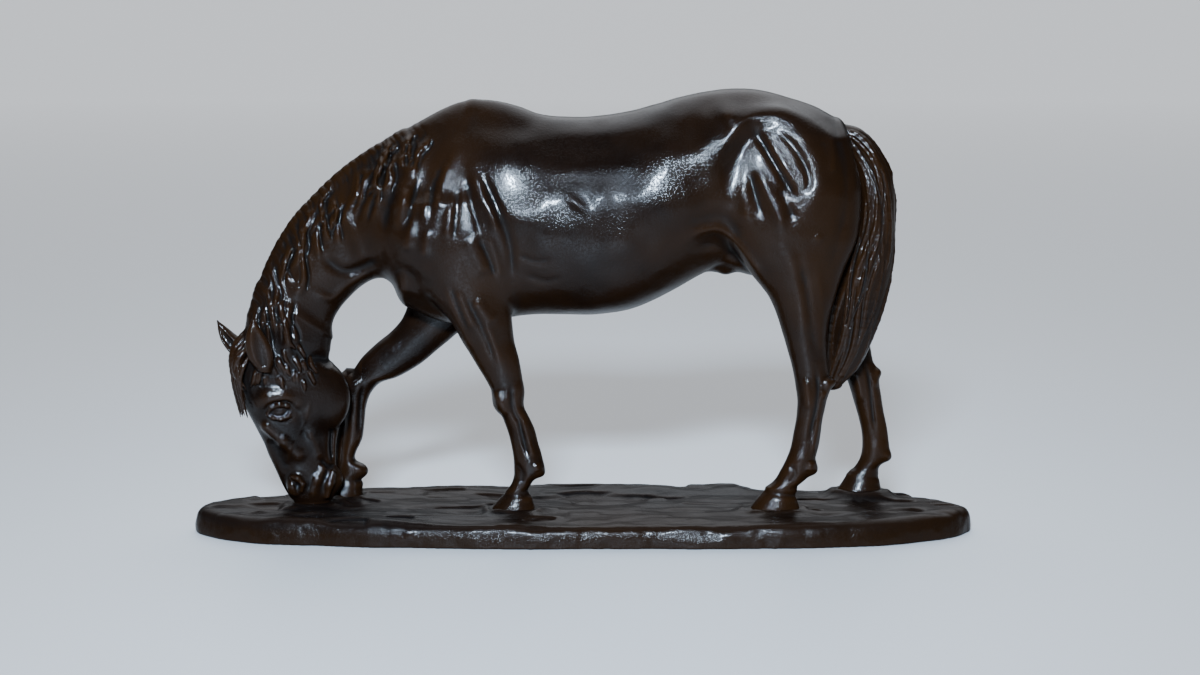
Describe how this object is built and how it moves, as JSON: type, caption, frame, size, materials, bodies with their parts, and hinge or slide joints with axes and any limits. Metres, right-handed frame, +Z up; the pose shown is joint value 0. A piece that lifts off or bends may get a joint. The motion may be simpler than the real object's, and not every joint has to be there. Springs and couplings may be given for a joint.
{
  "type": "grazing horse statuette",
  "caption": "Tabletop bronze of a grazing horse with its muzzle on the ground, on a low oval plinth of cast ground, dark brown patina.",
  "frame": {"origin": "middle of the plinth's length and width, on the plane it stands on", "axes": "+X along the plinth from the horse's head towards its tail, +Y towards the horse's right (off) side, +Z up"},
  "size_m": [0.36, 0.1, 0.2026],
  "materials": {
    "bronze_horse": "glossy dark brown patina on cast bronze",
    "bronze_plinth": "glossy dark brown patina on rough-textured cast bronze",
    "bronze_rod": "bare drawn bronze rod",
    "steel_fixings": "zinc-plated steel"
  },
  "bodies": {
    "root": {"base_casting": "bronze_plinth", "trunk_casting": "bronze_horse", "neck_casting": "bronze_horse", "head_casting": "bronze_horse", "near_foreleg": "bronze_horse", "off_foreleg": "bronze_horse", "near_hindleg": "bronze_horse", "off_hindleg": "bronze_horse", "tail_casting": "bronze_horse", "base_studs": "steel_fixings", "base_washers": "steel_fixings", "base_nuts": "steel_fixings", "leg_joint_pins": "bronze_rod", "neck_joint_pins": "bronze_rod", "head_joint_pins": "bronze_rod", "tail_joint_pin": "bronze_rod", "core_plugs": "bronze_rod"}
  },
  "joints": []
}
